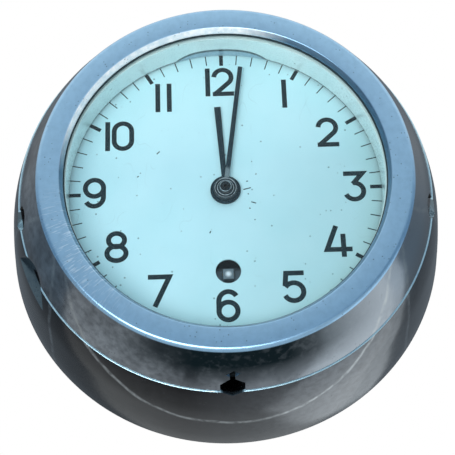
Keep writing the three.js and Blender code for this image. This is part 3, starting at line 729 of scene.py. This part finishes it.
# For each metal: dark and light tarnish, the right side's painted sheen, and the worn metal with its painted
# blue reflection.
CASE_NICKEL = aged_nickel(
    "case_nickel_aged", rgb(0.006, 0.006, 0.007), rgb(0.023, 0.022, 0.025), rgb(0.11, 0.118, 0.13),
    rgb(0.5, 0.7, 0.79), case_rim,
)
COVER_NICKEL = aged_nickel(
    "bezel_nickel_aged", rgb(0.06, 0.065, 0.074), rgb(0.29, 0.315, 0.345), rgb(0.25, 0.275, 0.305),
    rgb(0.3, 0.495, 0.69), bezel_face,
)
SHADED_CASTING = dull_shaded_casting()
STEEL = machined("machined_steel", rgb(0.1, 0.12, 0.14), rgb(0.24, 0.28, 0.31), 0.35)
WINDING_STEEL = winding_steel()
DARK_STEEL = machined("oiled_dark_steel", rgb(0.012, 0.018, 0.022), rgb(0.05, 0.065, 0.075), 0.4)
BRASS = machined("lacquered_brass", rgb(0.38, 0.27, 0.1), rgb(0.62, 0.46, 0.2), 0.32)
SPRING_STEEL = machined("blue_spring_steel", rgb(0.05, 0.08, 0.16), rgb(0.12, 0.17, 0.3), 0.28)

# ------------------------------------------------------------------ case, cover and glass


def rim_notch(depth):
    half = NOTCH_HALF_WIDTH
    seam, above = SEAM_HEIGHT, SEAM_HEIGHT + 5
    return [(-half, seam), (0, seam - depth), (half, seam), (half, above), (-half, above)]


def thumb_notch(bottom, top):
    centre = place(THUMB_NOTCH["distance"], THUMB_NOTCH["angle"])
    return prism(circle(THUMB_NOTCH["radius"], centre, 120), bottom, top)


def hinge_pocket(bottom, top):
    half = HINGE["half"] + HINGE["gap"]
    return block((-half, half), (97.4, 112), (bottom, top))


def knuckle(x_range, web_from, web_heights):
    start, end = x_range
    bore, outer = HINGE["bore"], HINGE["knuckle"]
    profile = [(bore, start, 0.1), (outer, start, 0.3), (outer, end, 0.3), (bore, end, 0.1)]
    barrel = across(turned(softened(profile, 2), SMALL_SEGMENTS))
    web = block(x_range, (web_from, HINGE["y"] - bore), web_heights)
    return joined(barrel, web)


def make_case():
    case = make_piece("clock_case", turned(softened(CASE_PROFILE)), CASE_NICKEL, SHADED_CASTING)
    holes = [
        prism(circle(MOUNTING_HOLE, place(MOUNTING_CIRCLE, angle)), -1, 6) for angle in MOUNTING_ANGLES
    ]
    side_notches = [
        radial_prism(rim_notch(SIDE_NOTCH_DEPTH), angle, *CASE_CUT) for angle in SIDE_ANGLES
    ]
    lock_notch = radial_prism(rim_notch(LOCK_NOTCH_DEPTH), LOCK_ANGLE, *CASE_CUT)
    cut(case, *holes, *side_notches, lock_notch)
    cut(case, thumb_notch(THUMB_NOTCH["floor"], 70), hinge_pocket(51.3, 70))
    dull_and_shade_the_inside(case, **CASE_INSIDE)
    inner = HINGE["half"] / 3 + HINGE["gap"]
    for x_range in ((-HINGE["half"], -inner), (inner, HINGE["half"])):
        add_shape(case, knuckle(x_range, 96.9, (50.8, HINGE["z"])))
    settle(case, "case", "case_nickel", "case_base")


def make_cover():
    cover = make_piece("hinged_cover", turned(softened(COVER_PROFILE)), COVER_NICKEL, SHADED_CASTING)
    openings = [radial_prism(SIDE_OPENING, angle, *COVER_CUT) for angle in SIDE_ANGLES]
    cut(cover, *openings, radial_prism(KEY_OPENING, LOCK_ANGLE, *COVER_CUT))
    cut(cover, thumb_notch(50, 66), hinge_pocket(50, 57.8))
    dull_and_shade_the_inside(cover, **COVER_INSIDE)
    half = HINGE["half"] / 3 - HINGE["gap"]
    add_shape(cover, knuckle((-half, half), 97.8, (HINGE["z"], 58.6)))
    settle(cover, "front_cover", "bezel_nickel", "front_cover")


def make_glazing():
    glass = make_piece("window_glass", turned(softened(GLASS_PROFILE), 160), old_glass())
    settle(glass, "front_cover", "window_glass", "cover_glass")
    gasket = make_piece("window_gasket", turned(softened(GASKET_PROFILE)), gasket_rubber())
    settle(gasket, "front_cover", "gasket_rubber", "glass_gasket")
    ring = make_piece("glass_ring", turned(softened(RETAINING_RING_PROFILE)), cream_gloss())
    settle(ring, "front_cover", "cream_paint", "glass_retaining_ring")


# ------------------------------------------------------------------ dial

NUMERAL_HEIGHT = 16.0
NUMERAL_STROKE = 2.4
TOP = NUMERAL_HEIGHT / 2
BAR = TOP - NUMERAL_STROKE / 2
DIGIT_GAP = 1.1
PRINT_THICKNESS = 0.05
TICK_OUTER = 75.7
HOUR_TICK = {"inner": 69.8, "width": 1.9}
MINUTE_TICK = {"inner": 70.4, "width": 0.5}

# Where the middle of each number stands on the dial.
NUMBER_PLACES = {
    "12": (-1.1, 60.4), "1": (30.9, 52.7), "2": (51.1, 30.3), "3": (62.1, 0.5),
    "4": (52.4, -28.1), "5": (30.3, -50.3), "6": (-0.6, -58.7), "7": (-32.3, -50.2),
    "8": (-52.5, -27.5), "9": (-63.2, 1.0), "10": (-51.1, 31.5), "11": (-29.3, 52.3),
}

# Dark nicks in the dial paint, as start and end points, in millimetres from the dial's middle.
NICKS = [
    ((8.6, 0.5), (12.3, 1.4)), ((12.1, -6.1), (14.5, -6.9)), ((10.1, 4.8), (11.0, 5.0)),
    ((10.7, -1.6), (11.1, -2.1)), ((11.0, -9.4), (11.7, -9.6)), ((13.3, -15.5), (13.8, -15.6)),
    ((21.2, -18.8), (21.7, -19.2)), ((14.9, 8.3), (15.1, 8.9)), ((13.0, 15.4), (13.4, 15.5)),
    ((-8.2, -21.9), (-7.7, -20.8)), ((-33.0, 21.0), (-31.5, 22.4)), ((-42.6, 8.8), (-41.8, 9.4)),
]
NICK_WIDTH = 0.5


def arc(centre, radii, start, end, steps=18):
    """Points on an ellipse, its angles in degrees anticlockwise from the right."""
    points = []
    for step in range(steps + 1):
        angle = math.radians(start + (end - start) * step / steps)
        points.append((centre[0] + radii[0] * math.cos(angle), centre[1] + radii[1] * math.sin(angle)))
    return points


def loop(centre, radii, steps=36):
    return arc(centre, radii, 0, 360, steps)[:-1]


SIX_HOOK = [(-4.35, -2.6), *arc((0.1, 2.2), (4.45, 4.75), 180, 32)]
SIX_BOWL = loop((0, -2.6), (4.4, 4.35))

# Each digit: its width, and its strokes as (points, closed).
DIGITS = {
    "0": (10.7, [(arc((0, 2.6), (4.3, 4.35), 180, 0) + arc((0, -2.6), (4.3, 4.35), 0, -180), True)]),
    "1": (2.1, [([(0, -TOP), (0, TOP)], False)]),
    "2": (10.9, [
        (arc((-0.1, 2.6), (4.35, 4.35), 176, -38) + [(-4.0, -BAR)], False),
        ([(-5.2, -BAR), (5.45, -BAR)], False),
    ]),
    "3": (11.0, [
        ([(-4.9, BAR), (4.3, BAR), (-0.6, 1.2)], False),
        (arc((0, -2.6), (4.45, 4.35), 98, -158), False),
    ]),
    "4": (13.2, [
        ([(-0.6, TOP), (-5.4, -4.1), (6.6, -4.1)], False),
        ([(2.5, 3.8), (2.5, -TOP)], False),
    ]),
    "5": (11.2, [
        ([(4.9, BAR), (-3.5, BAR), (-4.1, 0.4)], False),
        (arc((-0.1, -2.5), (4.55, 4.45), 148, -156), False),
    ]),
    "6": (11.0, [(SIX_HOOK, False), (SIX_BOWL, True)]),
    "7": (10.9, [([(-5.45, BAR), (4.6, BAR), (-2.3, -TOP)], False)]),
    "8": (11.2, [(loop((0, 3.5), (3.8, 3.45)), True), (loop((0, -3.25), (4.5, 3.7)), True)]),
    "9": (11.0, [
        ([(-x, -y) for x, y in SIX_HOOK], False),
        ([(-x, -y) for x, y in SIX_BOWL], True),
    ]),
}


def sideways(before, here, after):
    """The direction across a stroke at a point, stretched at a bend to keep the stroke's width."""
    ways = [(end - start).normalized() for start, end in ((before, here), (here, after)) if start and end]
    along = sum(ways, Vector((0, 0))).normalized()
    return Vector((-along.y, along.x)) / max(along.dot(ways[0]), 0.4)


def stroke(path, width, top, closed=False):
    """A flat printed stroke of even width with square ends."""
    path = [Vector(point) for point in path]
    bottom = DIAL_FRONT - PRINT_THICKNESS
    last = len(path) - 1
    points = []
    for index, here in enumerate(path):
        before = path[index - 1] if index > 0 or closed else None
        after = path[(index + 1) % len(path)] if index < last or closed else None
        side = sideways(before, here, after) * width / 2
        left, right = here + side, here - side
        points += [(*left, bottom), (*left, top), (*right, top), (*right, bottom)]
    faces = [] if closed else [(0, 1, 2, 3), tuple(4 * last + corner for corner in (3, 2, 1, 0))]
    for index in range(len(path) if closed else last):
        here = 4 * index
        there = 4 * ((index + 1) % len(path))
        for corner in range(4):
            after = (corner + 1) % 4
            faces.append((here + corner, there + corner, there + after, here + after))
    return points, faces


def number(text, centre):
    """The printed strokes of one number, its digits side by side about the centre."""
    gap = 3.6 if text == "11" else DIGIT_GAP
    width = sum(DIGITS[digit][0] for digit in text) + gap * (len(text) - 1)
    left = centre[0] - width / 2
    shapes = []
    for digit in text:
        digit_width, strokes = DIGITS[digit]
        middle = left + digit_width / 2
        for layer, (path, closed) in enumerate(strokes):
            moved = [(x + middle, y + centre[1]) for x, y in path]
            top = DIAL_FRONT + PRINT_THICKNESS * (1 + 0.2 * layer)
            shapes.append(stroke(moved, NUMERAL_STROKE, top, closed))
        left += digit_width + gap
    return shapes


def tick(minute):
    size = MINUTE_TICK if minute % 5 else HOUR_TICK
    path = [place(size["inner"], 6 * minute), place(TICK_OUTER, 6 * minute)]
    return stroke(path, size["width"], DIAL_FRONT + PRINT_THICKNESS)


def make_dial():
    dial = make_piece("dial_face", turned(softened(DIAL_PROFILE, 3)), dial_enamel())
    cut(dial, prism(circle(WINDING_HOLE, (0, -WINDING_DISTANCE), 72), 50, 60))
    for angle in DIAL_FOOT_ANGLES:
        foot = circle(1.5, place(DIAL_FOOT_CIRCLE, angle), 24)
        add_shape(dial, prism(foot, 44.8, DIAL_FRONT - 0.8))
    settle(dial, "case", "dial_enamel", "dial_plate")
    numbers = [shape for text, centre in NUMBER_PLACES.items() for shape in number(text, centre)]
    ticks = [tick(minute) for minute in range(60)]
    nicks = [stroke(ends, NICK_WIDTH, DIAL_FRONT + PRINT_THICKNESS / 2) for ends in NICKS]
    print_layer = make_piece("dial_markings", joined(*numbers, *ticks, *nicks), dial_print())
    settle(print_layer, "case", "dial_enamel")


# ------------------------------------------------------------------ hands

# Each boss: its outer and inner radius, its bottom and its top.
HOUR_HAND = {
    "boss": (7.3, 3.2, 56.7, 58), "grooves": [6.6],
    "blade": [(5, 1.2), (45.4, 1.6)], "blade_heights": (57, 57.7),
}
MINUTE_HAND = {
    "boss": (5.7, 2.0, 58.4, 60), "grooves": [5.0, 4.2, 3.4],
    "blade": [(4, 1.15), (67.6, 1.1)], "blade_heights": (58.9, 59.6),
}
NUT_SIZE = (2.9, 1.95, 60.3, 61.8)


def grooved_ring(outer, inner, bottom, top, grooves):
    """A turned boss whose face has shallow grooves at the given distances from its middle."""
    depth = 0.16
    profile = [(inner, bottom), (outer, bottom), (outer, top - 0.2), (outer - 0.2, top)]
    for groove in grooves:
        profile += [(groove + 0.2, top), (groove + 0.1, top - depth), (groove - 0.1, top - depth)]
        profile += [(groove - 0.2, top)]
    profile += [(inner + 0.15, top), (inner, top - 0.15)]
    return turned(profile, 96)


def make_hand(name, size, clock_angle, material):
    """A tapering blade on a turned boss. The blade's ends are (distance from the middle, half width)."""
    (start, start_half), (end, end_half) = size["blade"]
    blade = [(-start_half, start), (start_half, start), (end_half, end), (-end_half, end)]
    shape = joined(grooved_ring(*size["boss"], size["grooves"]), prism(blade, *size["blade_heights"]))
    hand = make_piece(name, turned_to(shape, clock_angle), material)
    soften_edges(hand, 0.12)
    return hand


def make_hands():
    hour_black = blackened_hand("hour_hand_black", 2.0)
    hour = make_hand("hour_pointer", HOUR_HAND, HOUR_HAND_ANGLE, hour_black)
    settle(hour, "hour_hand", "blued_steel", "hour_hand")
    minute_black = blackened_hand("minute_hand_black", 11.0)
    minute = make_hand("minute_pointer", MINUTE_HAND, MINUTE_HAND_ANGLE, minute_black)
    settle(minute, "minute_hand", "blued_steel", "minute_hand")
    nut = make_piece("centre_nut", grooved_ring(*NUT_SIZE, []), ringed_nut())
    settle(nut, "minute_hand", "steel", "hand_nut")


# ------------------------------------------------------------------ CAD nodes that stay

STEEL_NODES = {
    "hinge_pin", "minute_wheel_stud", "post_screw_1", "post_screw_2", "post_screw_3",
    "pallet_lever", "regulator_lever",
}
SPRING_NODES = {"mainspring", "hairspring"}
DARK_NODES = {
    "cannon_pinion", "click", "click_stud", "lock_bracket", "lock_spindle", "cover_catch",
}
WINDING_NODES = {"ratchet_wheel", "barrel_arbor"}


def node_material(name):
    if name in DARK_NODES:
        return DARK_STEEL
    if name in WINDING_NODES:
        return WINDING_STEEL
    if name in SPRING_NODES:
        return SPRING_STEEL
    return STEEL if name in STEEL_NODES else BRASS


def finish_nodes():
    for name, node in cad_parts.items():
        node.data.materials.clear()
        node.data.materials.append(node_material(name))


# ------------------------------------------------------------------ light, floor and camera

FLOOR_LEVEL = -0.8
CAMERA = {"azimuth": -0.66, "elevation": -23.5, "roll": -2.03, "distance": 0.595, "lens": 98.9}
CAMERA_TARGET = Vector((0.0003, -0.056, -0.0192))

ROOM_LOW = rgb(0.26, 0.36, 0.45)
ROOM_HIGH = rgb(1.2, 1.22, 1.2)
ROOM_BEHIND = rgb(0.16, 0.19, 0.22)
BACKDROP = rgb(1.0, 1.0, 1.0)

# Each softbox: where it stands, its width and height, its power in watts and its colour.
SOFTBOXES = {
    "front_box": ((-0.35, -1.25, -0.5), (1.0, 0.5), 12.5, (0.95, 1.0, 1.0)),
    "right_card": ((0.7, 0.45, -0.52), (1.3, 0.9), 2.9, (0.9, 0.97, 1.0)),
}


def aimed_at(position, target):
    return (Vector(target) - Vector(position)).to_track_quat("-Z", "Y").to_matrix().to_4x4()


def make_lights():
    for name, (position, (width, height), power, colour) in SOFTBOXES.items():
        light = bpy.data.lights.new(name, "AREA")
        light.shape = "RECTANGLE"
        light.size = width
        light.size_y = height
        light.energy = power
        light.color = colour
        lamp = bpy.data.objects.new(name, light)
        lamp.matrix_world = Matrix.Translation(position) @ aimed_at(position, (0, -0.05, 0))
        bpy.context.scene.collection.objects.link(lamp)


def make_surroundings():
    """A white backdrop, and for the light and reflections a blue-grey room that is brighter overhead."""
    world = bpy.data.worlds.new("studio")
    world.use_nodes = True
    bpy.context.scene.world = world
    nodes = Nodes(world.node_tree)
    direction = nodes.add("ShaderNodeTexCoord").outputs["Generated"]
    _, depth, height = nodes.split(direction)
    upwards = nodes.math("POWER", nodes.ramp(height, 0.1, 0.6), 2.0)
    room = nodes.mix(upwards, ROOM_LOW, ROOM_HIGH)
    room = nodes.mix(nodes.ramp(depth, 0.35, 0.75), room, ROOM_BEHIND)
    seen = nodes.add("ShaderNodeLightPath").outputs["Is Camera Ray"]
    nodes.set(nodes.tree.nodes["Background"], {"Color": nodes.mix(seen, room, BACKDROP)})


def make_floor():
    bpy.ops.mesh.primitive_grid_add(x_subdivisions=8, y_subdivisions=8, size=6, location=(0, 0, FLOOR_LEVEL))
    floor = bpy.context.active_object
    floor.name = "studio_floor"
    floor.data.materials.append(plain_floor())


def make_camera():
    """Stands the camera in front of the dial, below it and looking up."""
    azimuth, elevation, roll = (math.radians(CAMERA[turn]) for turn in ("azimuth", "elevation", "roll"))
    level = math.cos(elevation)
    forward = Vector((-math.sin(azimuth) * level, math.cos(azimuth) * level, -math.sin(elevation)))
    right = forward.cross(Vector((0, 0, 1))).normalized()
    up = right.cross(forward)
    tilted_right = right * math.cos(roll) + up * math.sin(roll)
    tilted_up = up * math.cos(roll) - right * math.sin(roll)
    stand = Matrix((tilted_right, tilted_up, -forward)).transposed().to_4x4()
    stand.translation = CAMERA_TARGET - forward * CAMERA["distance"]
    data = bpy.data.cameras.new("photo_camera")
    data.lens = CAMERA["lens"]
    data.sensor_width = 36
    camera = bpy.data.objects.new("photo_camera", data)
    camera.matrix_world = stand
    bpy.context.scene.collection.objects.link(camera)
    bpy.context.scene.camera = camera


make_camera()
make_case()
make_cover()
make_glazing()
make_dial()
make_hands()
finish_nodes()
make_surroundings()
make_lights()
make_floor()
bpy.context.scene.view_settings.view_transform = "Standard"
